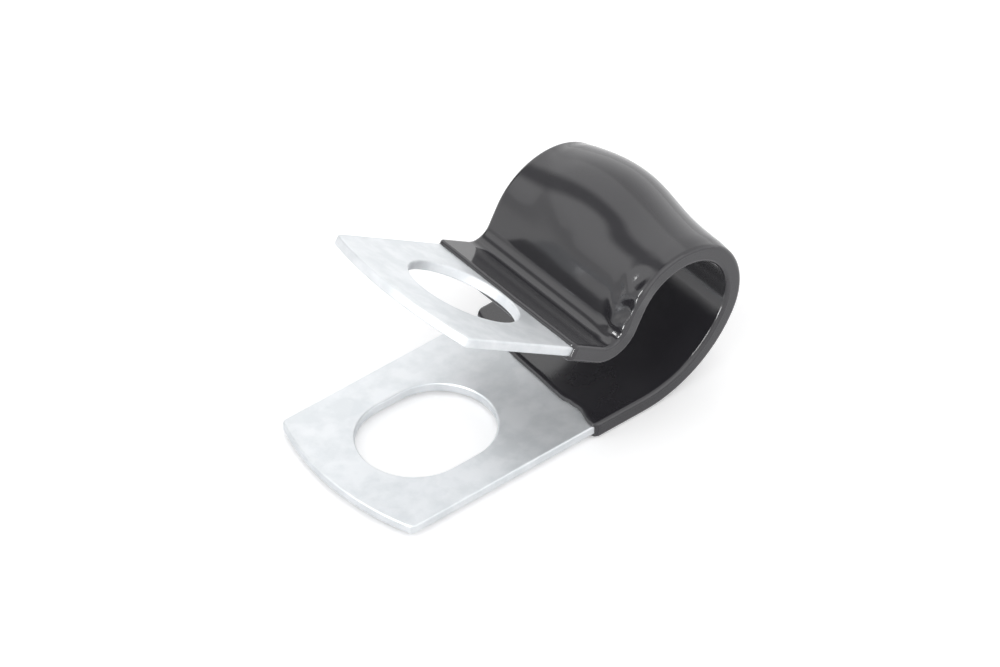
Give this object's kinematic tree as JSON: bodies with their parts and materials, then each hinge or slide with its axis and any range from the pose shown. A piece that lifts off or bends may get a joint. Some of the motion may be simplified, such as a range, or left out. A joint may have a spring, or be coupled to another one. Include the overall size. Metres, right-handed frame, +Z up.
{
  "type": "p clip",
  "caption": "Open P clip: a folded steel strap with a slotted leg, a raised leg with a round hole and a vinyl-dipped loop for one cable.",
  "frame": {"origin": "centre of the lower leg's bolt slot, on the underside of the steel", "axes": "+X along the cable, +Y from the slot to the loop, +Z up out of the surface that the clip is bolted to"},
  "size_m": [0.0198, 0.0412, 0.0211],
  "materials": {
    "galvanised_steel": "satin",
    "black_vinyl": "gloss"
  },
  "bodies": {
    "root": {"strap": "galvanised_steel", "vinyl_coating": "black_vinyl"}
  },
  "joints": []
}
